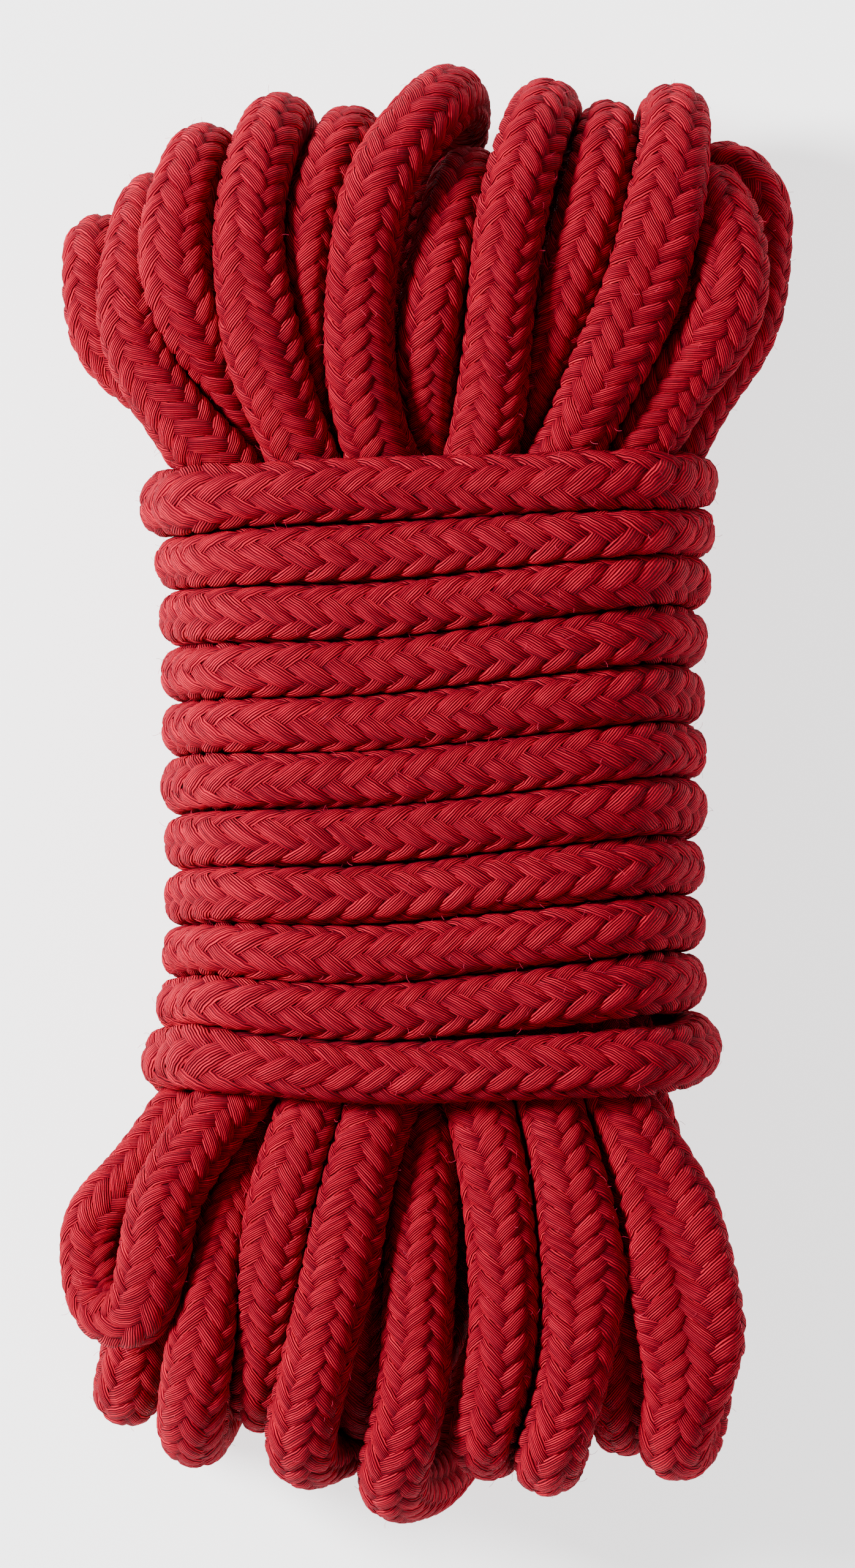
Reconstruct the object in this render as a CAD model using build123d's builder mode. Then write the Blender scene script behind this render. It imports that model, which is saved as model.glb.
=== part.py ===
from build123d import *
import math
import os

# One soft braided rope, folded into twelve long turns and wrapped round its waist. It lies on
# its back: X across, Y along the hank, Z up. Lengths are in mm.
rope_d = 6.6  # the rope where it lies pressed among its neighbours
wrap_d = 6.0  # the rope where it is pulled tight round the waist
wrap_count = 11
loop_reach = 1.0  # stretches the loops beyond the waist
tip_share = 0.2  # how far through its depth the first corner of a tip is
whip_wall = 0.7
whip_length = 2.6
whip_gap = 0.6  # from the very end of the rope
arc_share = 0.45  # of the shorter run, taken by each arc
leg_spacing = 6.9 / 6.6  # from leg to leg inside the waist, in rope thicknesses
wrap_spacing = 6.2 / 6.0

# The places in the tables are for a rope and wraps this thick, and a waist with its ends here.
table_rope = 6.6
table_wrap = 6.0
table_fan = {1: 43.5, -1: -42.5}
spread = rope_d / table_rope
fan_reach = 9.2 * spread  # from the end of the waist to where the legs have fanned out
shoulder_reach = 9.5 * spread  # from the tip of a bight back to where it starts to turn
leg_pitch = rope_d * leg_spacing
leg_row = leg_pitch * math.sqrt(3) / 2
wrap_pitch = wrap_d * wrap_spacing
half_waist = wrap_pitch * wrap_count / 2
wrap_first_y = 1.8 - half_waist
wrap_last_y = wrap_first_y + wrap_pitch * wrap_count
waist_top = half_waist + 0.2
waist_low = 0.8 - half_waist


def slot(column, line):
    """The place of one leg in the waist: columns across, lines up."""
    return (leg_pitch * column, leg_row * line)


# Each bight: the leg's slot, the leg's x and z where it fans out, half way and at the shoulder,
# the same from the other leg, and the tip: x on both sides, and y.
TOP = {
    "top_bight_01": ((-3, 0.5), ((-26.5, 2.6), (-33.0, 2.8), (-35.5, 3)), (-36.0, -35.0, 59.5),
                     ((-33.5, -11.5), (-31.0, -11), (-23.6, -6)), (-2.5, -0.5)),
    "top_bight_02": ((-2.5, 1.5), ((-25.4, 9.6), (-30.6, 9.4), (-31.4, 9.5)), (-30.0, -28.6, 64.0),
                     ((-28.2, -15.3), (-25.5, -15.3), (-17.8, -10.3)), (-2, -1.5)),
    "top_bight_03": ((-2, 0.5), ((-16.9, 6.0), (-23.3, 12.8), (-26.3, 14)), (-23.4, -22.2, 69.0),
                     ((-21.4, -9.0), (-19.2, -7.8), (-14.3, -4)), (-1.5, -0.5)),
    "top_bight_04": ((-1.5, 1.5), ((-13.4, 13.2), (-17.6, 16), (-19.2, 15.5)), (-16.3, -15.0, 72.5),
                     ((-16.0, -15.3), (-15.0, -15.3), (-10.2, -10.3)), (-1, -1.5)),
    "top_bight_05": ((-1, 0.5), ((-8.8, 6.5), (-11.8, 10.5), (-11.8, 11)), (-8.5, -7.5, 71.0),
                     ((-9.5, -9.5), (-9.2, -8.4), (-5.6, -4)), (-0.5, -0.5)),
    "top_bight_06": ((-0.5, 1.5), ((-5.7, 13.6), (-7.0, 16), (-5.0, 16)), (2.0, 4.0, 75.5),
                     ((1.5, -15.3), (-0.5, -15.3), (-1.0, -10)), (0, -1.5)),
    "top_bight_07": ((0, 0.5), ((0.3, 8), (0.6, 11.5), (2.0, 10.5)), (4.5, 5.5, 66.5),
                     ((6.5, -9), (5.4, -8.2), (4.2, -4)), (0.5, -0.5)),
    "top_bight_08": ((0.5, 1.5), ((6.2, 13.5), (7.7, 15.5), (9.8, 15.5)), (13.0, 14.0, 74.0),
                     ((13.0, -15.3), (11.0, -15.3), (8.8, -11.8)), (1, -1.5)),
    "top_bight_09": ((1, 0.5), ((9.5, 6.0), (14.0, 10), (18.0, 10.5)), (20.0, 20.0, 71.5),
                     ((19.5, -9), (16.5, -9), (12.4, -4)), (1.5, -0.5)),
    "top_bight_10": ((1.5, 1.5), ((15.2, 13.2), (21.5, 14.5), (26.0, 14.5)), (27.5, 27.0, 73.5),
                     ((26.5, -15.3), (23.0, -15.3), (17.8, -10.8)), (2, -1.5)),
    "top_bight_11": ((2.5, 1.5), ((22.8, 10.3), (29.4, 12.6), (31.6, 13.4)), (30.0, 29.0, 59.3),
                     ((29.0, -10.5), (27.5, -10), (22.0, -5.5)), (2.5, -0.5)),
    "top_bight_12": ((3, 0.5), ((25.0, 3.5), (33.0, 3.5), (36.3, 3)), (36.3, 23.6, 66.3),
                     ((22.0, 1), (21.9, 1.0), (19.0, 2)), (2, 0.5)),
}
LOW = {
    "low_bight_01": ((-3, 0.5), ((-28.0, 4.5), (-34.5, 5), (-36.2, 5)), (-35.0, -30.2, -57.0),
                     ((-28.6, 13.2), (-27.5, 12.6), (-24.5, 11.5)), (-2.5, 1.5)),
    "low_bight_02": ((-2, -1.5), ((-19.5, -14), (-26.5, -15.3), (-31.0, -15.3)), (-33.0, -32.5, -66.5),
                     ((-30.5, -1), (-24.5, -3), (-15.0, -3.5)), (-1.5, -0.5)),
    "low_bight_03": ((-2, 0.5), ((-17.6, 5.4), (-22.6, 10), (-24.2, 12)), (-25.5, -24.5, -70.5),
                     ((-20.5, -15.3), (-17.0, -15.3), (-10.5, -9.8)), (-1, -1.5)),
    "low_bight_04": ((-1.5, 1.5), ((-12.8, 13.2), (-15.2, 12), (-16.3, 8.5)), (-18.0, -17.0, -66.5),
                     ((-15.0, -7.5), (-10.0, -7), (-5.2, -4)), (-0.5, -0.5)),
    "low_bight_05": ((-1, 0.5), ((-7.7, 5.6), (-7.5, 6), (-8.0, 6)), (-8.5, -8.0, -60.5),
                     ((-7.0, -14.5), (-4.0, -14.5), (-1.5, -9.8)), (0, -1.5)),
    "low_bight_06": ((-0.5, 1.5), ((-5.4, 13), (-9.0, 14.5), (-12.0, 15)), (-14.0, -10.5, -72.5),
                     ((0.5, -7), (2.0, -7), (2.2, -3.7)), (0.5, -0.5)),
    "low_bight_07": ((0, 0.5), ((0.4, 7.6), (-0.3, 12.5), (-1.0, 14)), (-4.5, 1.5, -76.5),
                     ((6.0, -15.3), (6.0, -15.3), (5.5, -9.8)), (1, -1.5)),
    "low_bight_08": ((0.5, 1.5), ((6.8, 13.2), (8.2, 15), (8.0, 15)), (5.5, 8.0, -71.5),
                     ((12.0, -7.5), (12.0, -7), (10.0, -4)), (1.5, -0.5)),
    "low_bight_09": ((1, 0.5), ((10.5, 5.8), (16.5, 7.2), (20.5, 7)), (23.0, 23.0, -64.5),
                     ((23.0, -10), (21.5, -9), (18.8, -6.2)), (2.5, -0.5)),
    "low_bight_10": ((2.5, 1.5), ((22.0, 11.5), (27.5, 13.5), (29.5, 13.5)), (28.5, 29.8, -71.5),
                     ((30.5, -1), (30.0, 0), (25.0, 2.5)), (3, 0.5)),
    "low_bight_11": ((2, 0.5), ((16.8, 1.2), (17.0, -1), (16.5, -1)), (14.0, 13.0, -73.0),
                     ((15.8, 15.5), (16.0, 14.8), (14.1, 13.6)), (1.5, 1.5)),
}
# The corners that each wrap turns round the waist, as x and z, from the middle of the back.
WRAP = [(-9.0, -16.2), (-17.5, -15.8), (-23.5, -11.5), (-27.3, -3.5), (-28.0, 3.5), (-25.2, 12.4),
        (-17.5, 17.2), (-6.0, 17.6), (6.0, 17.6), (17.5, 17.2), (25.2, 12.4), (28.0, 3.5),
        (27.3, -3.5), (23.5, -11.5), (17.5, -15.8), (9.0, -16.2)]
# The free start from the waist down, the stretch from the last leg to the wraps, and the tail:
# x, y beyond the end of the waist, and z.
START = [(-19.5, 2.7, -3.5), (-24.0, 6.2, -4.5)]
LEAD = (13.9, 0.5, -12.0)
TAIL = [(-17.5, 3.7, -16.4), (-26.0, 5.2, -13.2)]


def across(x, z):
    """A place from the tables, for this rope's thickness."""
    return (x * spread, z * spread)


def wrap_corner(x, z):
    """A corner of a wrap, moved out as far as a thicker or thinner wrap needs."""
    x, z = across(x, z)
    out = 1 + (wrap_d - table_wrap) / 2 / math.hypot(x, z)
    return (x * out, z * out)


def bight(first, out, tip, back, last, sign):
    """The corners of one bight, from the middle of the waist out and round and back."""
    edge = waist_top if sign > 0 else waist_low
    fan = edge + sign * fan_reach
    far = fan + (tip[2] - table_fan[sign]) * spread * loop_reach
    shoulder = far - sign * min(shoulder_reach, abs(far - fan) / 2)
    levels = [fan, (fan + shoulder) / 2, shoulder]
    x1, z1 = slot(*first)
    x2, z2 = slot(*last)
    z_out = out[2][1]
    z_back = back[0][1]
    places = [(x, y, z) for (x, z), y in zip(out, levels)]
    places += [(tip[0], far, z_out + (z_back - z_out) * tip_share)]
    places += [(tip[1], far, z_out + (z_back - z_out) * (1 - tip_share))]
    places += [(x, y, z) for (x, z), y in zip(back, reversed(levels))]
    points = [(x1, 0, z1), (x1, edge, z1)]
    points += [(x * spread, y, z * spread) for x, y, z in places]
    points += [(x2, edge, z2), (x2, 0, z2)]
    return points


def wrap(number):
    """The corners of one turn round the waist, rising by one pitch, between its two joints."""
    low = wrap_first_y + wrap_pitch * number
    rise = wrap_pitch / (len(WRAP) + 1)
    corners = [wrap_corner(*corner) for corner in WRAP]
    points = [(0, low, corners[0][1])]
    points += [(x, low + rise * (i + 1), z) for i, (x, z) in enumerate(corners)]
    points += [(0, low + wrap_pitch, corners[-1][1])]
    return points


def start():
    x, z = slot(-2.5, -0.5)
    points = [(x, 0, z), (x, waist_low + 2.3 * spread, z)]
    points += [(x * spread, waist_low - beyond * spread, z * spread) for x, beyond, z in START]
    return points


def lead():
    x, z = slot(2, -1.5)
    rise = wrap_pitch / (len(WRAP) + 1)
    back_x, back_z = wrap_corner(*WRAP[-1])
    bend_x, bend_z = across(LEAD[0], LEAD[2])
    points = [(x, 0, z), (x, waist_low + 5.8 * spread, z), (bend_x, waist_low - LEAD[1], bend_z)]
    points += [(back_x, wrap_first_y - rise, back_z), (0, wrap_first_y, back_z)]
    return points


def tail():
    rise = wrap_pitch / (len(WRAP) + 1)
    back_x, back_z = wrap_corner(*WRAP[0])
    points = [(0, wrap_last_y, back_z), (back_x, wrap_last_y + rise, back_z)]
    points += [(wrap_corner(x, z)[0], waist_top + beyond, wrap_corner(x, z)[1]) for x, beyond, z in TAIL]
    return points


def all_paths():
    paths = {"rope_start": start()}
    paths.update({name: bight(*row, 1) for name, row in TOP.items()})
    paths.update({name: bight(*row, -1) for name, row in LOW.items()})
    paths["wrap_lead"] = lead()
    for number in range(wrap_count):
        paths[f"wrap_{number + 1:02d}"] = wrap(number)
    paths["rope_tail"] = tail()
    return paths


# --- solids
def lengths(points):
    return [math.dist(a, b) for a, b in zip(points, points[1:])]


def radii(points):
    """As large an arc at each corner as its two runs allow."""
    runs = lengths(points)
    found = []
    for i in range(1, len(points) - 1):
        before = Vector(*points[i]) - Vector(*points[i - 1])
        after = Vector(*points[i + 1]) - Vector(*points[i])
        half_turn = math.radians(before.get_angle(after)) / 2
        found.append(arc_share * min(runs[i - 1], runs[i]) / math.tan(half_turn))
    return found


def tube(points, diameter, name):
    """A plain round tube along runs joined by tangent arcs."""
    corners = radii(points)
    start = Plane(origin=points[0], z_dir=Vector(*points[1]) - Vector(*points[0]))
    with BuildPart() as piece:
        with BuildLine() as line:
            FilletPolyline(*points, radius=corners)
        with BuildSketch(start):
            Circle(diameter / 2)
        sweep(path=line.line)
    length = sum(edge.length for edge in line.edges())
    share = piece.part.volume / (math.pi * diameter**2 / 4 * length)
    print(f"{name}: radii {min(corners):.1f} to {max(corners):.1f}, length {length:.1f}, "
          f"volume {share:.4f} of section times length")
    return piece.part


def whipping(points, diameter):
    """The thread bound round a rope end: a sleeve on the last straight stretch."""
    end = Vector(*points[-1])
    back = (Vector(*points[-2]) - end).normalized()
    with BuildPart() as piece:
        with BuildSketch(Plane(origin=end + back * whip_gap, z_dir=back)):
            Circle(diameter / 2 + whip_wall)
            Circle(diameter / 2, mode=Mode.SUBTRACT)
        extrude(amount=whip_length)
    return piece.part


pieces = {}
for name, points in all_paths().items():
    diameter = wrap_d if name.startswith("wrap_") or name == "rope_tail" else rope_d
    pieces[name] = tube(points, diameter, name)
pieces["start_whipping"] = whipping(start(), rope_d)
pieces["end_whipping"] = whipping(tail(), wrap_d)

# The hank stands on its lowest point, with the middle of its box over the origin.
boxes = [piece.bounding_box() for piece in pieces.values()]
low = [min(tuple(box.min)[axis] for box in boxes) for axis in range(3)]
high = [max(tuple(box.max)[axis] for box in boxes) for axis in range(3)]
move = (-(low[0] + high[0]) / 2, -(low[1] + high[1]) / 2, -low[2])
print("moved by", move, "box", [b - a for a, b in zip(low, high)])
os.makedirs("parts", exist_ok=True)
for name, piece in pieces.items():
    piece = Pos(*move) * piece
    piece.label = name
    export_step(piece, f"parts/{name}.step")
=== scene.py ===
import math

import bpy
import numpy as np
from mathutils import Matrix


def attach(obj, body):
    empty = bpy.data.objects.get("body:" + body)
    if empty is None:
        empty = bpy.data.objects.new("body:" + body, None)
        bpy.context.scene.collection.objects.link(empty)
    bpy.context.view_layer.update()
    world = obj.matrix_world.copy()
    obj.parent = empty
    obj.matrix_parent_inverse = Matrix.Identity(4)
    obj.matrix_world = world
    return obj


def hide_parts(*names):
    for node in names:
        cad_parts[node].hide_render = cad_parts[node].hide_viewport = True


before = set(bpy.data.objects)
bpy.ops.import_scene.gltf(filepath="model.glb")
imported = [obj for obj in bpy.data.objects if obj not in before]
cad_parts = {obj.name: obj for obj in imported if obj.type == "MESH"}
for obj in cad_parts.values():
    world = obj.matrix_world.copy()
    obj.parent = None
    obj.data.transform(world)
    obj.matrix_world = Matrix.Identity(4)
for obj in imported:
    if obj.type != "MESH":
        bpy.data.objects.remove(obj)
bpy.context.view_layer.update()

# One soft braided rope, folded into turns and wrapped round its waist. The route's tables are in
# mm from the middle of the hank, and everything made from them is in metres.
MM = 0.001
MIDDLE = (-0.1565, 0.5, 19.3154)  # of the hank, on the floor
LEG_PITCH = 6.4
LEG_ROW = 5.976
LEGS_MIDDLE = 1.2  # the legs are pulled a little to one side
WRAP_PITCH = 6.2
WRAP_UNDER = -16.2  # the height at which a wrap passes under the legs
WRAP_COUNT = 11
WRAP_FIRST_Y = -32.3
WRAP_LAST_Y = WRAP_FIRST_Y + WRAP_PITCH * WRAP_COUNT
WAIST_TOP = 34.3
WAIST_LOW = -33.3
FAN_TOP = 43.5
FAN_LOW = -42.5
SHOULDER_REACH = 9.5
TIP_SHARE = 0.2
EDGE_TURN = 0.5  # how far a leg has fanned out where it leaves the waist
LEG_HOLD = 9.5  # how far inside the waist a leg is still straight

FREE_RADIUS = 4.05 * MM  # of the rope where nothing presses it
WRAP_RADIUS = 3.75 * MM  # of the rope where it is pulled tight
WIDEST = 6.4 * MM  # from the middle line to the side of a flattened rope
STRANDS = 16
CARRIERS = STRANDS // 2  # that go round each way
PICK_LOOSE = 1.18 * MM  # along the rope from one crossing to the next
PICK_TIGHT = 1.7 * MM
STRAND_COVER = 1.12  # a strand's width, over the room that it has beside the next one
FUZZ_LOWEST = 0.0014  # no fibres where they would go through the floor
NEIGHBOUR_REACH = 0.0105  # ropes further apart than this don't press on each other
OWN_STRETCH = 0.012  # along the rope, within which it is not its own neighbour
INSIDE_BEND = 0.92  # share of a bend's radius that the rope may fill
PRESSED_IN = 0.00012  # how far past the middle a rope may press into its neighbour
MOST_GROWTH = 1.32  # how much further than round a pressed rope may bulge
CORNER = 9  # the higher, the sharper the edge of a flattened side
END_SHARE = 0.84  # the thickness of the bound ends, over the rope's own
END_BOUND = 0.0025
END_FREE = 0.006
WAIST_HIDDEN = 0.027  # how far from the middle the legs are under the wraps
WINDING_STARTS = 0.045  # along the lead, where the rope is pulled tight
WINDING_BLEND = 40
THREAD_RADIUS = 0.27 * MM
THREAD_TURNS = 5
THREAD_FROM = 0.0008  # of the thread's first turn, from the very end of the rope
THREAD_TO = 0.0033
THREAD_STEPS = 36  # in one turn
THREAD_SIDES = 8
STRAND_LIFT = 0.35 * MM  # over and under the middle of the braid
CORE_DEPTH = 0.95 * MM  # below the strands' surface
SAMPLE = 0.7 * MM
ANGLES = 48
STRAND_ACROSS = np.array([-1, -0.6, 0, 0.6, 1])
STRAND_CROWN = np.array([0.42, 0.06, 0, 0.06, 0.42]) * MM
FIRST_SLOT = (-2.5, -0.5)  # of the leg that runs on from the free start
LAST_SLOT = (2, -1.5)  # of the leg that runs on to the wraps

# Each bight: the leg's slot, the leg's x and z where it fans out, half way and at the shoulder,
# the same from the other leg, and the tip: x on both sides, and y.
TOP = {
    "top_bight_01": ((-3, 0.5), ((-28.0, 2.6), (-33.6, 2.8), (-35.5, 3)), (-36.0, -35.0, 59.5),
                     ((-33.5, -11.5), (-31.0, -11), (-23.6, -6)), (-2.5, -0.5)),
    "top_bight_02": ((-2.5, 1.5), ((-28.2, 9.6), (-31.0, 9.4), (-31.4, 9.5)), (-30.0, -28.6, 64.0),
                     ((-28.2, -15.3), (-25.5, -15.3), (-17.8, -10.3)), (-2, -1.5)),
    "top_bight_03": ((-2, 0.5), ((-21.0, 8.0), (-25.5, 13.2), (-27.3, 14)), (-24.6, -23.2, 69.0),
                     ((-21.4, -9.0), (-19.2, -7.8), (-14.3, -4)), (-1.5, -0.5)),
    "top_bight_04": ((-1.5, 1.5), ((-16.0, 13.8), (-18.5, 16), (-19.2, 15.5)), (-16.3, -15.0, 72.5),
                     ((-16.0, -15.3), (-15.0, -15.3), (-10.2, -10.3)), (-1, -1.5)),
    "top_bight_05": ((-1, 0.5), ((-10.8, 9.5), (-12.2, 13.0), (-12.0, 13.5)), (-8.5, -7.5, 71.0),
                     ((-9.5, -9.5), (-9.2, -8.4), (-5.6, -4)), (-0.5, -0.5)),
    "top_bight_06": ((-0.5, 1.5), ((-7.0, 14.0), (-7.3, 16), (-5.2, 16)), (2.0, 4.0, 75.5),
                     ((1.5, -15.3), (-0.5, -15.3), (-1.0, -10)), (0, -1.5)),
    "top_bight_07": ((0, 0.5), ((0.3, 10.5), (0.6, 14), (2.0, 13.5)), (4.5, 5.5, 66.5),
                     ((6.5, -9), (5.4, -8.2), (4.2, -4)), (0.5, -0.5)),
    "top_bight_08": ((0.5, 1.5), ((7.5, 13.8), (8.2, 15.5), (9.8, 15.5)), (13.0, 14.0, 74.0),
                     ((13.0, -15.3), (11.0, -15.3), (8.8, -11.8)), (1, -1.5)),
    "top_bight_09": ((1, 0.5), ((12.3, 9.0), (15.3, 12.5), (18.2, 13)), (20.0, 20.0, 71.5),
                     ((19.5, -9), (16.5, -9), (12.4, -4)), (1.5, -0.5)),
    "top_bight_10": ((1.5, 1.5), ((18.8, 13.8), (23.3, 14.5), (26.2, 14.5)), (27.5, 27.0, 73.5),
                     ((26.5, -15.3), (23.0, -15.3), (17.8, -10.8)), (2, -1.5)),
    "top_bight_11": ((2.5, 1.5), ((26.8, 10.3), (31.8, 12.6), (33.6, 13.4)), (31.5, 29.5, 65.0),
                     ((29.0, -10.5), (27.5, -10), (22.0, -5.5)), (2.5, -0.5)),
    "top_bight_12": ((3, 0.5), ((30.0, 3.5), (35.0, 3.5), (36.3, 3)), (36.3, 23.6, 66.3),
                     ((22.0, 1), (21.9, 1.0), (19.0, 2)), (2, 0.5)),
}
LOW = {
    "low_bight_01": ((-3, 0.5), ((-31.2, 4.5), (-35.2, 5), (-36.2, 5)), (-35.0, -30.2, -57.0),
                     ((-29.0, 13.2), (-28.6, 12.6), (-27.2, 11.5)), (-2.5, 1.5)),
    "low_bight_02": ((-2, -1.5), ((-19.5, -14), (-26.5, -15.3), (-31.0, -15.3)), (-33.0, -32.5, -66.5),
                     ((-30.5, -1), (-24.5, -3), (-15.0, -3.5)), (-1.5, -0.5)),
    "low_bight_03": ((-2, 0.5), ((-20.6, 7.0), (-22.8, 10), (-24.2, 12)), (-25.5, -24.5, -70.5),
                     ((-20.5, -15.3), (-17.0, -15.3), (-10.5, -9.8)), (-1, -1.5)),
    "low_bight_04": ((-1.5, 1.5), ((-14.4, 13.2), (-16.0, 13), (-17.0, 11)), (-18.0, -17.0, -66.5),
                     ((-15.0, -7.5), (-10.0, -7), (-5.2, -4)), (-0.5, -0.5)),
    "low_bight_05": ((-1, 0.5), ((-7.7, 8.0), (-7.5, 9), (-8.0, 9)), (-8.0, -7.0, -68.0),
                     ((-7.0, -14.5), (-4.0, -14.5), (-1.5, -9.8)), (0, -1.5)),
    "low_bight_06": ((-0.5, 1.5), ((-8.0, 13.4), (-9.4, 14.5), (-12.0, 15)), (-14.0, -10.5, -72.5),
                     ((0.5, -7), (2.0, -7), (2.2, -3.7)), (0.5, -0.5)),
    "low_bight_07": ((0, 0.5), ((-0.3, 10), (-0.5, 13), (-1.2, 14.5)), (-4.5, 1.5, -76.5),
                     ((6.0, -15.3), (6.0, -15.3), (5.5, -9.8)), (1, -1.5)),
    "low_bight_08": ((0.5, 1.5), ((8.1, 13.4), (8.8, 15), (8.6, 15)), (6.0, 8.4, -71.5),
                     ((12.0, -7.5), (12.0, -7), (10.0, -4)), (1.5, -0.5)),
    "low_bight_09": ((1, 0.5), ((10.5, 8.0), (16.5, 10), (20.5, 10)), (21.5, 22.5, -69.0),
                     ((23.0, -10), (21.5, -9), (18.8, -6.2)), (2.5, -0.5)),
    "low_bight_10": ((2.5, 1.5), ((24.6, 12.0), (27.7, 14.0), (29.2, 14.0)), (26.6, 29.0, -71.5),
                     ((30.5, -1), (30.0, 0), (25.0, 2.5)), (3, 0.5)),
    "low_bight_11": ((2, 0.5), ((16.8, 1.2), (17.0, -1), (16.5, -1)), (14.0, 13.0, -73.0),
                     ((16.3, 15.5), (16.8, 14.8), (15.6, 13.8)), (1.5, 1.5)),
}
# The corners that each wrap turns round the waist, as x and z, from the middle of the back.
WRAP = [(-9.0, -16.2), (-16.5, -15.8), (-22.0, -11.5), (-25.0, -3.5), (-24.8, 3.5), (-22.4, 12.4),
        (-16.5, 17.2), (-5.5, 17.6), (6.5, 17.6), (17.5, 17.2), (24.4, 12.4), (27.0, 3.5),
        (26.6, -3.5), (23.5, -11.5), (17.5, -15.8), (9.0, -16.2)]
# The free start, the stretch from the last leg to the wraps, and the tail.
START = [(-19.5, -36, -3.5), (-24.0, -39.5, -4.5)]
LEAD = [(13.9, -33.8, -12)]
TAIL = [(-17.5, 38.0, -16.4), (-26.0, 39.5, -13.2)]
# Where a rope lies flattened: x, y, z, how far that reaches, and how much wider it is.
FLATTENED = [(-18, 50, 15, 7, 0.25), (23, 50, 14.5, 7, 0.35), (26, 60, 14.5, 7, 0.35),
             (25.5, -48, 14, 10, 0.7), (27.5, -58, 14, 8, 0.45), (-10, -46, 14.5, 9, 0.12),
             (-22.5, -52, 11, 9, 0.08), (-31.5, 52, 9.5, 7, 0.1), (-26.5, 56, 14, 7, 0.1)]
# How far each wrap stands out at its left and at its right.
STANDING = [(1.5, 2.2), (0, 0.4), (-0.5, 0), (-0.4, 0), (-0.2, 0.3), (0.2, 0), (0, 0), (0.2, 0.3),
            (0.4, 0), (0.6, 0.3), (2.2, 0.6)]
# How far each wrap is pulled along the hank from an even winding: at its left, middle and right.
PULLED = [(1.7, -1.0, -1.0), (1.0, -1.1, 1.4), (0.5, -1.0, 1.6), (0.1, -0.6, 1.6), (0, -0.4, 2.1),
          (0.1, -0.5, 1.7), (-0.2, -0.8, 1.7), (-0.5, -1.0, 2.0), (-0.6, -1.1, 1.8), (-0.9, -1.1, 0.8),
          (-0.7, -0.3, -1.0)]
# The pieces that the rope is shown in, one after the other along it.
PIECES = [
    ("turn_01", ["rope_start", "top_bight_01"]),
    ("turn_02", ["low_bight_01", "top_bight_02"]),
    ("turn_03", ["low_bight_02", "top_bight_03"]),
    ("turn_04", ["low_bight_03", "top_bight_04"]),
    ("turn_05", ["low_bight_04", "top_bight_05"]),
    ("turn_06", ["low_bight_05", "top_bight_06"]),
    ("turn_07", ["low_bight_06", "top_bight_07"]),
    ("turn_08", ["low_bight_07", "top_bight_08"]),
    ("turn_09", ["low_bight_08", "top_bight_09"]),
    ("turn_10", ["low_bight_09", "top_bight_11"]),
    ("turn_11", ["low_bight_10", "top_bight_12"]),
    ("turn_12", ["low_bight_11", "top_bight_10"]),
    ("waist_low", ["wrap_lead", "wrap_01", "wrap_02", "wrap_03"]),
    ("waist_middle", ["wrap_04", "wrap_05", "wrap_06", "wrap_07"]),
    ("waist_top", ["wrap_08", "wrap_09", "wrap_10", "wrap_11", "rope_tail"]),
]


# --- camera
def make_camera():
    data = bpy.data.cameras.new("camera")
    camera = bpy.data.objects.new("camera", data)
    bpy.context.scene.collection.objects.link(camera)
    distance = 1.0
    height = 0.1707
    data.sensor_width = 36
    data.lens = data.sensor_width * distance / height
    data.clip_end = 20
    camera.location = (0.0002, 0.0011, 0.027 + distance)
    bpy.context.scene.camera = camera


# --- route
def slot(column, line):
    """The place of one leg in the waist: columns across, lines up."""
    return (LEG_PITCH * column + LEGS_MIDDLE, LEG_ROW * line)


def leaving(x, y, z, fan):
    """Where a leg leaves the waist, already turned a little towards where it fans out."""
    return (x + (fan[0] - x) * EDGE_TURN, y, z + (fan[1] - z) * EDGE_TURN)


def bight(first, out, tip, back, last, sign):
    """The corners of one bight, from the middle of the waist out and round and back."""
    edge = WAIST_TOP if sign > 0 else WAIST_LOW
    hold = edge - sign * LEG_HOLD
    fan = FAN_TOP if sign > 0 else FAN_LOW
    far = tip[2]
    shoulder = far - sign * min(SHOULDER_REACH, abs(far - fan) / 2)
    levels = [fan, (fan + shoulder) / 2, shoulder]
    x1, z1 = slot(*first)
    x2, z2 = slot(*last)
    z_out = out[2][1]
    z_back = back[0][1]
    points = [(x1, 0, z1), (x1, hold, z1), leaving(x1, edge, z1, out[0])]
    points += [(x, y, z) for (x, z), y in zip(out, levels)]
    points += [(tip[0], far, z_out + (z_back - z_out) * TIP_SHARE)]
    points += [(tip[1], far, z_out + (z_back - z_out) * (1 - TIP_SHARE))]
    points += [(x, y, z) for (x, z), y in zip(back, reversed(levels))]
    points += [leaving(x2, edge, z2, back[-1]), (x2, hold, z2), (x2, 0, z2)]
    return points


def wrap(number):
    """The corners of one turn round the waist, rising by one pitch."""
    low = WRAP_FIRST_Y + WRAP_PITCH * number
    rise = WRAP_PITCH / (len(WRAP) + 1)
    left, middle, right = PULLED[number]
    pull = [0, 0, 0, 0, left / 2, left, (left + middle) / 2, middle, middle * 0.6 + right * 0.4,
            middle * 0.25 + right * 0.75, right, right * 0.6, 0, 0, 0, 0]
    out_left, out_right = STANDING[number]
    out = [0, 0, 0, -out_left, -out_left, -out_left, 0, 0, 0, 0, out_right, out_right, out_right, 0, 0, 0]
    points = [(0, low, WRAP_UNDER)]
    points += [(x + out[i], low + rise * (i + 1) + pull[i], z) for i, (x, z) in enumerate(WRAP)]
    points += [(0, low + WRAP_PITCH, WRAP_UNDER)]
    return points


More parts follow.
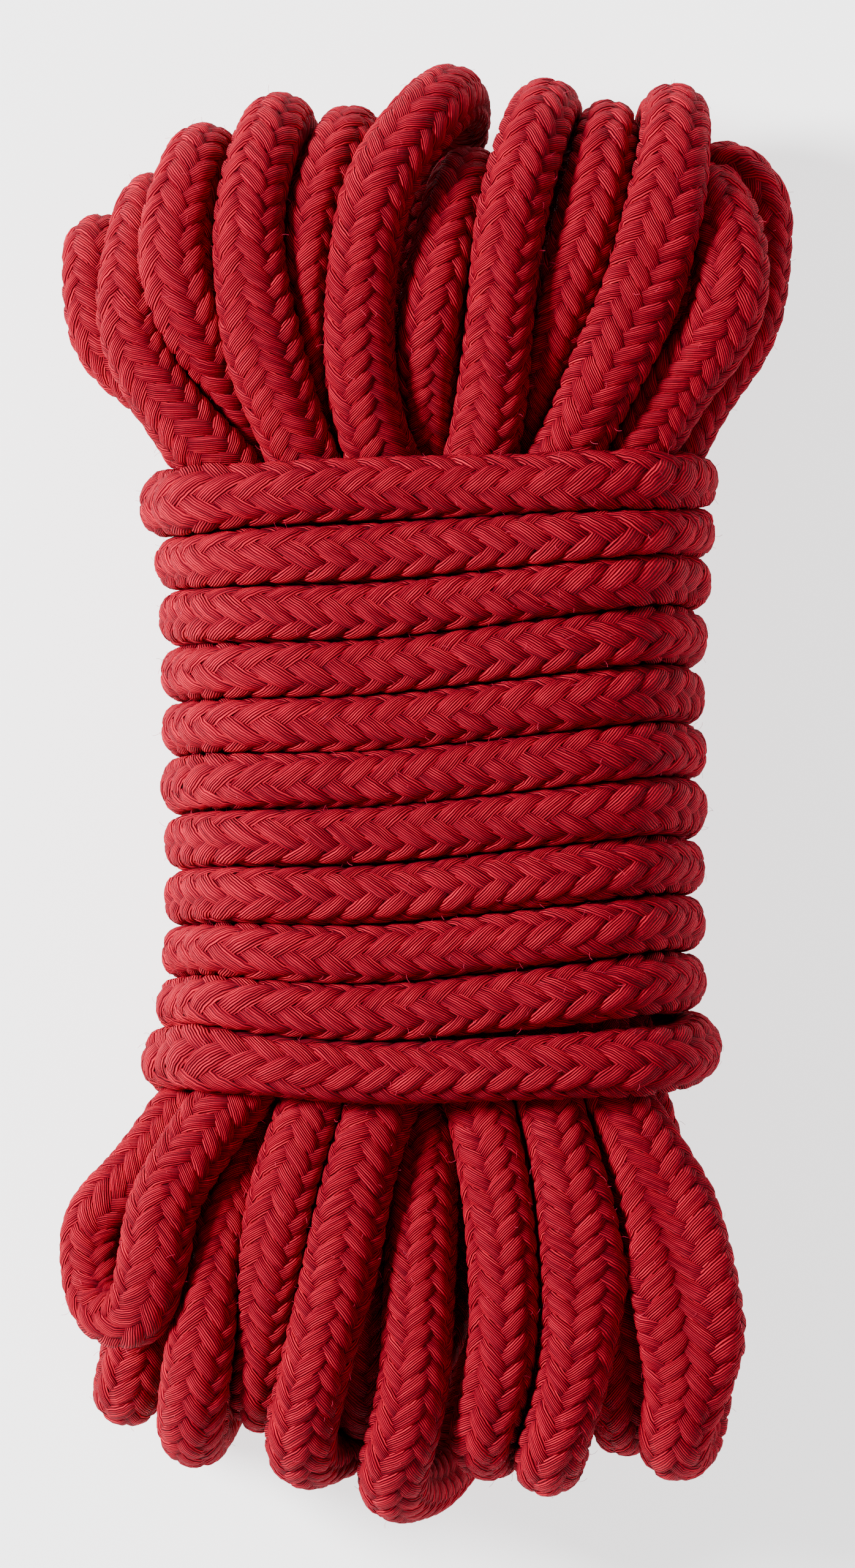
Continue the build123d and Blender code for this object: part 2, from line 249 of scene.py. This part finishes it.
def all_paths():
    """The corners of every stretch of the rope, by the name of its CAD part."""
    rise = WRAP_PITCH / (len(WRAP) + 1)
    first_x, first_z = slot(*FIRST_SLOT)
    last_x, last_z = slot(*LAST_SLOT)
    paths = {"rope_start": [(first_x, 0, first_z), (first_x, -31, first_z)] + START}
    paths.update({name: bight(*row, 1) for name, row in TOP.items()})
    paths.update({name: bight(*row, -1) for name, row in LOW.items()})
    lead = [(last_x, 0, last_z), (last_x, -27.5, last_z)] + LEAD
    lead += [(9, WRAP_FIRST_Y - rise, WRAP_UNDER), (0, WRAP_FIRST_Y, WRAP_UNDER)]
    paths["wrap_lead"] = lead
    for number in range(WRAP_COUNT):
        paths[f"wrap_{number + 1:02d}"] = wrap(number)
    tail = [(0, WRAP_LAST_Y, WRAP_UNDER), (-9, WRAP_LAST_Y + rise, WRAP_UNDER)]
    paths["rope_tail"] = tail + TAIL
    return paths


def in_metres(point):
    return tuple((value + middle) * MM for value, middle in zip(point, MIDDLE))


def join_route():
    """The whole rope's corners from end to end, and the corner where each piece begins."""
    paths = all_paths()
    route = list(reversed(paths["rope_start"]))
    joints = [route[0]]
    for name, parts in PIECES:
        for part in parts:
            if part == "rope_start":
                continue
            points = paths[part]
            if math.dist(points[0], route[-1]) > 0.01:
                points = list(reversed(points))
            if part == parts[0]:
                joints.append(route[-1])
            route += points[1:]
    joints.append(route[-1])
    return [in_metres(point) for point in route], [in_metres(point) for point in joints]


def spline_points(route):
    """The line of a smooth curve with the route's corners as its control points."""
    data = bpy.data.curves.new("route", "CURVE")
    data.dimensions = "3D"
    data.resolution_u = 12
    spline = data.splines.new("NURBS")
    spline.points.add(len(route) - 1)
    for point, place in zip(spline.points, route):
        point.co = (*place, 1)
    spline.order_u = 3
    spline.use_endpoint_u = True
    curve = bpy.data.objects.new("route", data)
    bpy.context.scene.collection.objects.link(curve)
    bpy.context.view_layer.update()
    mesh = bpy.data.meshes.new_from_object(curve)
    points = np.empty(len(mesh.vertices) * 3)
    mesh.vertices.foreach_get("co", points)
    bpy.data.objects.remove(curve)
    bpy.data.meshes.remove(mesh)
    return points.reshape(-1, 3)


class Line:
    """The rope's middle line at even steps, with a frame that turns as little as it can."""

    def __init__(self, points):
        along = np.concatenate([[0], np.cumsum(np.linalg.norm(np.diff(points, axis=0), axis=1))])
        self.length = along[-1]
        self.s = np.linspace(0, self.length, int(self.length / SAMPLE) + 1)
        self.at = np.stack([np.interp(self.s, along, points[:, axis]) for axis in range(3)], 1)
        ahead = np.gradient(self.at, axis=0)
        self.ahead = ahead / np.linalg.norm(ahead, axis=1, keepdims=True)
        self.side = np.empty_like(self.at)
        side = np.cross(self.ahead[0], (0.0, 0.0, 1.0))
        for i, direction in enumerate(self.ahead):
            side = side - direction * (side @ direction)
            side = side / np.linalg.norm(side)
            self.side[i] = side
        self.up = np.cross(self.ahead, self.side)
        bend = np.gradient(self.ahead, axis=0) / np.gradient(self.s)[:, None]
        self.bend = smoothed(bend, 2)
        self.marks = []

    def mark(self, joints):
        """The distance along the line of each joint."""
        self.marks = [self.s[np.argmin(np.linalg.norm(self.at - joint, axis=1))] for joint in joints]
        self.marks[0] = 0
        self.marks[-1] = self.length


def smoothed(values, times):
    """Values averaged with their neighbours along the rope."""
    for _ in range(times):
        padded = np.concatenate([values[:1], values, values[-1:]])
        values = (padded[:-2] + 2 * padded[1:-1] + padded[2:]) / 4
    return values


def smooth_step(values, low, high):
    t = np.clip((values - low) / (high - low), 0, 1)
    return t * t * (3 - 2 * t)


# --- how the rope's section gives way
def section_limits(line):
    """How far the surface may stand out at each angle before it meets a neighbour, itself at the
    inside of a bend, or the floor."""
    angles = np.arange(ANGLES) * 2 * math.pi / ANGLES
    cosines = np.cos(angles)[:, None]
    sines = np.sin(angles)[:, None]
    others = line.at[::2]
    others_s = line.s[::2]
    limits = np.full((len(line.s), ANGLES), 1.0)
    for i, place in enumerate(line.at):
        outward = cosines * line.side[i] + sines * line.up[i]
        apart = others - place
        squared = np.einsum("ij,ij->i", apart, apart)
        near = (squared < NEIGHBOUR_REACH**2) & (np.abs(others_s - line.s[i]) > OWN_STRETCH)
        if near.any():
            towards = outward @ apart[near].T
            reach = squared[near] / 2 / np.maximum(towards, 1e-5)
            limits[i] = reach.min(axis=1)
        inward = outward @ line.bend[i]
        limits[i] = np.minimum(limits[i], INSIDE_BEND / np.maximum(inward, 1))
        limits[i] = np.minimum(limits[i], place[2] / np.maximum(-outward[:, 2], 1e-3))
    return limits + PRESSED_IN


def flattening(line):
    """How much wider or thinner than round each section is before its neighbours press on it."""
    angles = np.arange(ANGLES) * 2 * math.pi / ANGLES
    sideways = np.cos(angles)[None] * line.side[:, :1] + np.sin(angles)[None] * line.up[:, :1]
    wider = np.full(len(line.s), 0.0)
    for x, y, z, reach, more in FLATTENED:
        apart = np.linalg.norm(line.at - in_metres((x, y, z)), axis=1)
        wider += more * np.exp(-((apart / (reach * MM)) ** 2))
    return 1 + wider[:, None] * (1.35 * sideways**2 - 0.35)


def section_radii(line, tight):
    """The surface's distance from the middle line, which keeps the rope's girth as it flattens."""
    limits = section_limits(line)
    free = (FREE_RADIUS + (WRAP_RADIUS - FREE_RADIUS) * tight)[:, None]
    reach = free.copy()
    for _ in range(6):
        mean = np.minimum(reach, limits).mean(axis=1, keepdims=True)
        reach = np.clip(reach * (free / mean) ** 1.2, free, free * MOST_GROWTH)
    reach = smoothed(reach, 4) * flattening(line)
    reach = np.minimum(reach, WIDEST)
    radii = (reach**-CORNER + smoothed(limits, 1) ** -CORNER) ** (-1 / CORNER)
    return smoothed(radii, 2), smoothed(limits / free, 2)


class Braid:
    """The rope's surface, with places on it given by crossings along and lattice steps round."""

    def __init__(self, line, tight):
        self.line = line
        self.radii, self.room = section_radii(line, tight)
        pick = PICK_LOOSE + (PICK_TIGHT - PICK_LOOSE) * tight
        steps = SAMPLE / ((pick[1:] + pick[:-1]) / 2)
        self.v = np.concatenate([[0], np.cumsum(steps)])
        self.pick = pick
        self.turned = 0.9 * np.sin(line.s / 0.113) + 0.6 * np.sin(line.s / 0.047 + 1.0)
        ends = np.minimum(line.s, line.length - line.s)
        self.bound = END_SHARE + 0.16 * smooth_step(ends, END_BOUND, END_FREE)

    def places(self, v, c, sunk):
        """Points on the surface, sunk below it, with the share of room that the rope has there."""
        s = np.interp(v, self.v, self.line.s)
        index = np.clip(s / self.line.s[1], 0, len(self.line.s) - 1.001)
        i = index.astype(int)
        part = (index - i)[..., None]
        mixed = [a[i] * (1 - part) + a[i + 1] * part for a in (self.line.at, self.line.side, self.line.up)]
        at, side, up = mixed
        angle = 2 * math.pi * c / STRANDS + np.interp(s, self.line.s, self.turned)
        column = np.mod(angle / (2 * math.pi) * ANGLES, ANGLES)
        j = np.minimum(column.astype(int), ANGLES - 1)
        k = (j + 1) % ANGLES
        across = column - j
        found = []
        for table in (self.radii, self.room):
            here = table[i, j] * (1 - across) + table[i, k] * across
            there = table[i + 1, j] * (1 - across) + table[i + 1, k] * across
            found.append(here * (1 - part[..., 0]) + there * part[..., 0])
        radius = found[0] * np.interp(s, self.line.s, self.bound) - sunk
        outward = np.cos(angle)[..., None] * side + np.sin(angle)[..., None] * up
        return at + outward * radius[..., None], found[1]


def strand(braid, start, end, carrier, way):
    """One flat strand from start to end, over two and under two of those that go the other way:
    its points, their places across and along it, how far it is lifted, and its room."""
    steps = strand_steps(braid, start, end)
    c = 2 * carrier + way * steps
    height = np.tanh(2 * np.cos(math.pi / 2 * (c - (0.5 if way > 0 else 2.5)))) / math.tanh(2)
    height = height * 0.9 + 0.1 * np.sin(1.7 * steps + 2.3 * carrier + way)
    pick = np.interp(steps, braid.v, braid.pick)
    round_step = 2 * math.pi * FREE_RADIUS / STRANDS
    slant = np.hypot(pick, round_step)
    room_beside = 2 * round_step * pick / slant
    width = room_beside * STRAND_COVER * (0.98 + 0.04 * np.sin(0.9 * steps + 1.3 * carrier))
    offset = STRAND_ACROSS[None] * width[:, None] / 2
    v = steps[:, None] - way * offset * (round_step / slant / pick)[:, None]
    c = c[:, None] + offset * (pick / slant / round_step)[:, None]
    sunk = STRAND_LIFT * (1 - height)[:, None] + STRAND_CROWN[None]
    v = np.clip(v, start, end)
    points, room = braid.places(v, c, sunk)
    along = np.interp(steps, braid.v, braid.line.s) * 1000 + 7.3 * carrier
    shape = points.shape[:2]
    beside = np.broadcast_to((STRAND_ACROSS + 1) / 2, shape)
    uv = np.stack([beside, np.broadcast_to(along[:, None], shape)], -1)
    # The lift falls towards the strand's edges; the braid material paints shade from it.
    lift = np.broadcast_to((height[:, None] + 1) / 2, shape) - np.abs(STRAND_ACROSS) ** 3 * 0.25
    return points, uv, lift, room


def strand_steps(braid, start, end):
    """Half a crossing at a time where the strand shows, and a whole one inside the waist."""
    steps = np.arange(math.ceil(start * 2) / 2, end, 0.5)
    at = np.interp(steps, braid.v, np.arange(len(braid.v))).astype(int)
    y = braid.line.at[at, 1] - MIDDLE[1] * MM
    hidden = (np.abs(y) < WAIST_HIDDEN) & (braid.pick[at] < (PICK_LOOSE + PICK_TIGHT) / 2)
    steps = steps[~hidden | (np.mod(steps, 1) == 0)]
    return np.concatenate([[start], steps[(steps > start + 0.1) & (steps < end - 0.1)], [end]])


def core(braid, start, end):
    """The inside of the rope, just under the strands, open at both ends; it is dark with painted shade."""
    steps = np.linspace(start, end, max(4, int((end - start) / 1.5)))
    c = np.arange(0, STRANDS, 1.0)
    v = np.broadcast_to(steps[:, None], (len(steps), len(c)))
    points, room = braid.places(v, np.broadcast_to(c, v.shape), CORE_DEPTH)
    return points, room


def grid_faces(rows, columns, first, closed):
    """Quads over a grid of points, joined round where it is closed."""
    a = np.arange(rows - 1)[:, None] * columns
    b = np.arange(columns if closed else columns - 1)[None]
    corner = (a + b).ravel() + first
    beside = (a + (b + 1) % columns).ravel() + first
    return np.stack([corner, beside, beside + columns, corner + columns], 1)


def braided_mesh(name, braid, start, end):
    """A stretch of the rope: sixteen strands over a core."""
    points = []
    uvs = []
    lifts = []
    rooms = []
    faces = []
    count = 0
    for way in (1, -1):
        for carrier in range(CARRIERS):
            grid, uv, lift, room = strand(braid, start, end, carrier, way)
            quads = grid_faces(grid.shape[0], grid.shape[1], count, False)
            faces.append(quads)
            points.append(grid.reshape(-1, 3))
            uvs.append(uv.reshape(-1, 2))
            lifts.append(lift.ravel())
            rooms.append(room.ravel())
            count += len(points[-1])
    grid, room = core(braid, start, end)
    faces.append(grid_faces(grid.shape[0], grid.shape[1], count, True))
    points.append(grid.reshape(-1, 3))
    uvs.append(np.zeros((room.size, 2)))
    # A lift of nought gives the core the darkest painted shade.
    lifts.append(np.zeros(room.size))
    rooms.append(room.ravel())
    mesh = mesh_from(name, np.concatenate(points), np.concatenate(faces))
    # The lift and the room also mask the painted shade in the braid material.
    add_values(mesh, "lift", np.concatenate(lifts))
    add_values(mesh, "room", np.concatenate(rooms))
    uv_map = mesh.uv_layers.new(name="strand")
    corners = np.empty(len(mesh.loops), dtype=np.int32)
    mesh.loops.foreach_get("vertex_index", corners)
    uv_map.data.foreach_set("uv", np.concatenate(uvs)[corners].ravel())
    return mesh


def mesh_from(name, points, quads):
    """A smooth mesh of faces that each have as many corners as a row of quads."""
    mesh = bpy.data.meshes.new(name)
    mesh.vertices.add(len(points))
    mesh.vertices.foreach_set("co", points.ravel())
    mesh.loops.add(quads.size)
    mesh.loops.foreach_set("vertex_index", quads.astype(np.int32).ravel())
    mesh.polygons.add(len(quads))
    mesh.polygons.foreach_set("loop_start", np.arange(0, quads.size, quads.shape[1], dtype=np.int32))
    mesh.update(calc_edges=True)
    mesh.validate()
    mesh.shade_smooth()
    return mesh


def add_values(mesh, name, values):
    attribute = mesh.attributes.new(name, "FLOAT", "POINT")
    attribute.data.foreach_set("value", values.astype(np.float32))


def add_object(name, mesh, material):
    """A visible piece that rides with the hank."""
    piece = bpy.data.objects.new(name, mesh)
    bpy.context.scene.collection.objects.link(piece)
    mesh.materials.clear()
    mesh.materials.append(material)
    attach(piece, "root")
    return piece


# --- thread round the rope's ends
def whipping(end, braid, from_end, material):
    """Thread wound tightly round the rope just short of its end."""
    line = braid.line
    s = np.linspace(THREAD_FROM, THREAD_TO, THREAD_TURNS * THREAD_STEPS)
    s = line.length - s if from_end else s
    angle = np.linspace(0, THREAD_TURNS * 2 * math.pi, len(s))
    at = np.stack([np.interp(s, line.s, line.at[:, axis]) for axis in range(3)], 1)
    side = line.side[-1 if from_end else 0]
    up = line.up[-1 if from_end else 0]
    ahead = line.ahead[-1 if from_end else 0]
    outward = np.cos(angle)[:, None] * side + np.sin(angle)[:, None] * up
    base = braid.radii[-6 if from_end else 5].mean() * 0.86
    ring = np.arange(THREAD_SIDES) * 2 * math.pi / THREAD_SIDES
    rise = (base + np.cos(ring) * THREAD_RADIUS)[None, :, None] * outward[:, None]
    points = at[:, None] + rise + np.sin(ring)[None, :, None] * THREAD_RADIUS * ahead
    points[0] = points[0].mean(axis=0)
    points[-1] = points[-1].mean(axis=0)
    faces = grid_faces(len(s), THREAD_SIDES, 0, True)[:, ::-1]
    mesh = mesh_from(end + "_thread", points.reshape(-1, 3), faces)
    along = np.repeat(angle, THREAD_SIDES)
    add_values(mesh, "along", along)
    piece = add_object(end + "_thread", mesh, material)
    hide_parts(end + "_whipping")
    return piece


# --- shader nodes
class Value:
    """A socket that gives a number, with Math nodes for what is worked out from it."""

    def __init__(self, tree, socket):
        self.tree = tree
        self.socket = socket

    def math(self, operation, *values):
        node = self.tree.nodes.new("ShaderNodeMath")
        node.operation = operation
        for socket, value in zip(node.inputs, values):
            if isinstance(value, Value):
                self.tree.links.new(value.socket, socket)
            else:
                socket.default_value = value
        return Value(self.tree, node.outputs[0])

    def __add__(self, other):
        return self.math("ADD", self, other)

    def __sub__(self, other):
        return self.math("SUBTRACT", self, other)

    def __rsub__(self, other):
        return self.math("SUBTRACT", other, self)

    def __mul__(self, other):
        return self.math("MULTIPLY", self, other)

    def __pow__(self, other):
        return self.math("POWER", self, other)

    __radd__ = __add__


class Material:
    """A Principled material and what feeds it."""

    def __init__(self, name):
        self.material = bpy.data.materials.new(name)
        self.material.use_nodes = True
        self.tree = self.material.node_tree
        self.shader = self.tree.nodes["Principled BSDF"]

    def node(self, kind, settings=None, output=0, **inputs):
        """A node of any kind, its settings first, then the values or links of its sockets."""
        node = self.tree.nodes.new(kind)
        for name, setting in (settings or {}).items():
            setattr(node, name, setting)
        for name, value in inputs.items():
            key = int(name[1:]) if name[1:].isdigit() else name.replace("_", " ")
            socket = node.inputs[key]
            if isinstance(value, Value):
                self.tree.links.new(value.socket, socket)
            else:
                socket.default_value = value
        return Value(self.tree, node.outputs[output])

    def mix(self, share, first, second):
        """A colour between two, which are colours or links."""
        return self.node("ShaderNodeMix", {"data_type": "RGBA"}, 2, i0=share, i6=first, i7=second)

    def clamp(self, value):
        return self.node("ShaderNodeClamp", None, 0, Value=value)

    def feed(self, name, value):
        self.tree.links.new(value.socket, self.shader.inputs[name])

    def bump(self, height, distance, strength):
        self.feed("Normal", self.node("ShaderNodeBump", None, 0, Height=height, Distance=distance,
                                      Strength=strength))


def colour(red, green, blue):
    """A linear colour from the usual 0 to 255."""
    return tuple(((value / 255 + 0.055) / 1.055) ** 2.4 if value > 10 else value / 255 / 12.92
                 for value in (red, green, blue)) + (1,)


def braid_material():
    """Soft spun fibre laid in flat strands of fine yarns."""
    m = Material("red braided fibre")
    uv = m.node("ShaderNodeUVMap", {"uv_map": "strand"})
    parts = m.tree.nodes.new("ShaderNodeSeparateXYZ")
    m.tree.links.new(uv.socket, parts.inputs[0])
    across = Value(m.tree, parts.outputs[0])
    along = Value(m.tree, parts.outputs[1])
    lift = m.node("ShaderNodeAttribute", {"attribute_name": "lift"}, 2)
    room = m.node("ShaderNodeAttribute", {"attribute_name": "room"}, 2)
    place = m.node("ShaderNodeTexCoord", None, 3)
    wander = m.node("ShaderNodeTexNoise", {"noise_dimensions": "3D"}, 0, Vector=place, Scale=420.0,
                    Detail=2.0)
    yarns = across * 10 + wander * 1.4
    yarn = yarns.math("FRACT", yarns)
    ridge = 1 - (yarn * 2 - 1) ** 2
    cell = m.node("ShaderNodeCombineXYZ", None, 0, X=across * 10, Y=along * 0.35, Z=along * 0.01)
    tone = m.node("ShaderNodeTexNoise", {"noise_dimensions": "3D"}, 0, Vector=cell, Scale=1.0, Detail=1.0)
    blotch = m.node("ShaderNodeTexNoise", {"noise_dimensions": "3D"}, 0, Vector=place, Scale=60.0, Detail=2.0)
    lit = m.mix(m.clamp(tone * 2.8 - 0.9), colour(140, 0, 28), colour(242, 0, 52))
    lit = m.mix(blotch * 0.4, lit, colour(184, 0, 38))
    # Painted shade: each strand is coloured darker in the grooves between its yarns.
    lit = m.mix((1 - ridge) * 0.85, lit, colour(70, 0, 15))
    # Painted shade: darker where a strand dips under the others, by its lift.
    shown = m.mix(m.clamp(1.05 - lift * 1.3) * 0.8, lit, colour(34, 0, 11))
    # Painted shade: near black where the rope is pressed close to its neighbours, by its room.
    shown = m.mix(m.clamp(3.6 - room * 3.3) * 0.85, shown, colour(16, 0, 5))
    m.feed("Base Color", shown)
    m.feed("Roughness", 0.62 + tone * 0.2)
    m.bump(ridge * 0.75 + tone * 0.25, 0.0004, 1.0)
    m.shader.inputs["Sheen Weight"].default_value = 0.03
    m.shader.inputs["Sheen Roughness"].default_value = 0.45
    m.shader.inputs["Sheen Tint"].default_value = colour(255, 120, 150)
    m.shader.inputs["Specular IOR Level"].default_value = 0.04
    return m.material


def fuzz_material():
    m = Material("loose red fibre")
    place = m.node("ShaderNodeTexCoord", None, 3)
    tone = m.node("ShaderNodeTexNoise", {"noise_dimensions": "3D"}, 0, Vector=place, Scale=300.0)
    m.feed("Base Color", m.mix(tone, colour(176, 10, 44), colour(228, 56, 96)))
    m.feed("Roughness", 0.6 + tone * 0.2)
    m.shader.inputs["Specular IOR Level"].default_value = 0.05
    return m.material


def thread_material():
    m = Material("dark whipping thread")
    along = m.node("ShaderNodeAttribute", {"attribute_name": "along"}, 2)
    place = m.node("ShaderNodeTexCoord", None, 3)
    fine = m.node("ShaderNodeTexNoise", {"noise_dimensions": "3D"}, 0, Vector=place, Scale=2500.0)
    twists = along * 22 + fine * 2
    twist = twists.math("SINE", twists)
    # Painted shade: the thread is coloured darker in the grooves of its twist, where the bump is low.
    m.feed("Base Color", m.mix(0.5 + twist * 0.3, colour(120, 4, 20), colour(190, 14, 40)))
    m.feed("Roughness", 0.5 + fine * 0.2)
    m.bump(twist, 0.00008, 0.6)
    return m.material


def floor_material():
    m = Material("pale floor")
    place = m.node("ShaderNodeTexCoord", None, 3)
    grain = m.node("ShaderNodeTexNoise", {"noise_dimensions": "3D"}, 0, Vector=place, Scale=8.0)
    m.feed("Base Color", m.mix(grain, colour(246, 246, 246), colour(250, 250, 250)))
    m.shader.inputs["Roughness"].default_value = 0.9
    m.shader.inputs["Emission Color"].default_value = (1, 1, 1, 1)
    m.shader.inputs["Emission Strength"].default_value = 1.8
    return m.material


# --- loose fibres
def fuzz_tree(material):
    """Short bent fibres standing out of the strands that lie on top."""
    tree = bpy.data.node_groups.new("fuzz", "GeometryNodeTree")
    face = tree.interface
    face.new_socket("Geometry", in_out="INPUT", socket_type="NodeSocketGeometry")
    sizes = [("Density", 60000.0), ("Length", 0.0012), ("Thickness", 0.00002)]
    for name, value in sizes:
        socket = face.new_socket(name, in_out="INPUT", socket_type="NodeSocketFloat")
        socket.default_value = value
    seed = face.new_socket("Seed", in_out="INPUT", socket_type="NodeSocketInt")
    seed.default_value = 4
    face.new_socket("Geometry", in_out="OUTPUT", socket_type="NodeSocketGeometry")

    def add(kind, **settings):
        node = tree.nodes.new(kind)
        for name, setting in settings.items():
            setattr(node, name, setting)
        return node

    def link(source, target, out=0, into=0):
        tree.links.new(source.outputs[out], target.inputs[into])

    given = add("NodeGroupInput")
    scatter = add("GeometryNodeDistributePointsOnFaces")
    link(given, scatter, "Geometry", "Mesh")
    link(given, scatter, "Density", "Density")
    link(given, scatter, "Seed", "Seed")
    lift = add("GeometryNodeInputNamedAttribute", data_type="FLOAT")
    lift.inputs["Name"].default_value = "lift"
    raised = add("FunctionNodeCompare", data_type="FLOAT", operation="GREATER_THAN")
    link(lift, raised, "Attribute", 0)
    raised.inputs[1].default_value = 0.7
    position = add("GeometryNodeInputPosition")
    height = add("ShaderNodeSeparateXYZ")
    link(position, height)
    clear = add("FunctionNodeCompare", data_type="FLOAT", operation="GREATER_THAN")
    link(height, clear, "Z", 0)
    clear.inputs[1].default_value = FUZZ_LOWEST
    both = add("FunctionNodeBooleanMath", operation="AND")
    link(raised, both, 0, 0)
    link(clear, both, 0, 1)
    link(both, scatter, 0, "Selection")
    fibre = add("GeometryNodeCurveQuadraticBezier")
    fibre.inputs["Resolution"].default_value = 3
    fibre.inputs["Start"].default_value = (0, 0, -0.1)
    fibre.inputs["Middle"].default_value = (0.1, 0, 0.5)
    fibre.inputs["End"].default_value = (0.75, 0.1, 0.62)
    turn = add("FunctionNodeRandomValue", data_type="FLOAT_VECTOR")
    turn.inputs[0].default_value = (-0.9, -0.9, 0)
    turn.inputs[1].default_value = (0.9, 0.9, 6.28)
    link(given, turn, "Seed", "Seed")
    spin = add("FunctionNodeRotateRotation", rotation_space="LOCAL")
    link(scatter, spin, "Rotation", "Rotation")
    link(turn, spin, 0, 1)
    length = add("FunctionNodeRandomValue", data_type="FLOAT")
    length.inputs[2].default_value = 0.35
    length.inputs[3].default_value = 1.0
    size = add("ShaderNodeMath", operation="MULTIPLY")
    link(length, size, 1, 0)
    link(given, size, "Length", 1)
    place = add("GeometryNodeInstanceOnPoints")
    link(scatter, place, "Points", "Points")
    link(fibre, place, 0, "Instance")
    link(spin, place, 0, "Rotation")
    link(size, place, 0, "Scale")
    real = add("GeometryNodeRealizeInstances")
    link(place, real, 0, 0)
    ring = add("GeometryNodeCurvePrimitiveCircle")
    ring.inputs["Resolution"].default_value = 3
    link(given, ring, "Thickness", "Radius")
    solid = add("GeometryNodeCurveToMesh")
    link(real, solid, 0, "Curve")
    link(ring, solid, 0, "Profile Curve")
    finish = add("GeometryNodeSetMaterial")
    finish.inputs["Material"].default_value = material
    link(solid, finish, 0, 0)
    result = add("NodeGroupOutput")
    link(finish, result, 0, 0)
    return tree


def fuzz_piece(name, rope_mesh, tree, seed, material):
    """The loose fibres of one stretch of rope, as a mesh of their own."""
    carrier = bpy.data.objects.new(name + "_carrier", rope_mesh)
    bpy.context.scene.collection.objects.link(carrier)
    modifier = carrier.modifiers.new("fuzz", "NODES")
    modifier.node_group = tree
    for item in tree.interface.items_tree:
        if item.name == "Seed":
            modifier[item.identifier] = seed
    bpy.context.view_layer.update()
    ready = carrier.evaluated_get(bpy.context.evaluated_depsgraph_get())
    mesh = bpy.data.meshes.new_from_object(ready)
    carrier.modifiers.remove(modifier)
    bpy.data.objects.remove(carrier)
    mesh.name = name
    return add_object(name, mesh, material)


# --- light
def area_light(name, place, target, size, power):
    data = bpy.data.lights.new(name, "AREA")
    data.shape = "DISK"
    data.size = size
    data.energy = power
    light = bpy.data.objects.new(name, data)
    bpy.context.scene.collection.objects.link(light)
    light.location = place
    towards = [b - a for a, b in zip(place, target)]
    pitch = math.atan2(math.hypot(towards[0], towards[1]), -towards[2])
    light.rotation_euler = (pitch, 0, math.atan2(towards[1], towards[0]) - math.pi / 2)


def studio():
    """A pale floor, even light, and a stronger light from the left."""
    mesh = mesh_from("floor", np.array([(-3, -3, 0), (3, -3, 0), (3, 3, 0), (-3, 3, 0)], float),
                     np.array([[0, 1, 2, 3]]))
    floor = bpy.data.objects.new("floor", mesh)
    bpy.context.scene.collection.objects.link(floor)
    mesh.materials.append(floor_material())
    world = bpy.data.worlds.new("studio")
    world.use_nodes = True
    world.node_tree.nodes["Background"].inputs[0].default_value = (1, 1, 1, 1)
    world.node_tree.nodes["Background"].inputs[1].default_value = 0.31
    bpy.context.scene.world = world
    area_light("key", (-0.75, 0.25, 0.65), (0, 0, 0.02), 0.3, 31)
    area_light("fill", (0.5, -0.4, 0.9), (0, 0, 0.02), 0.6, 1.5)


# --- the whole
def build():
    """The rope in its pieces, each a stretch of the one cord."""
    route, joints = join_route()
    line = Line(spline_points(route))
    line.mark(joints)
    wound = line.s > line.marks[-4] + WINDING_STARTS
    tight = smoothed(wound.astype(float), WINDING_BLEND)
    braid = Braid(line, tight)
    rope = braid_material()
    loose = fuzz_material()
    fuzz = fuzz_tree(loose)
    thread = thread_material()
    start_thread = whipping("start", braid, False, thread)
    end_thread = whipping("end", braid, True, thread)
    for number, (name, parts) in enumerate(PIECES):
        low, high = line.marks[number], line.marks[number + 1]
        start, end = np.interp((low, high), line.s, braid.v)
        mesh = braided_mesh(name, braid, start, end)
        piece = add_object(name, mesh, rope)
        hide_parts(*parts)
        fuzz_piece(name + "_fuzz", mesh, fuzz, number + 1, loose)
        inside = (line.s > low) & (line.s < high)
        path = line.at[inside]
        if number == 0:
            path = path[::-1]


make_camera()
build()
studio()
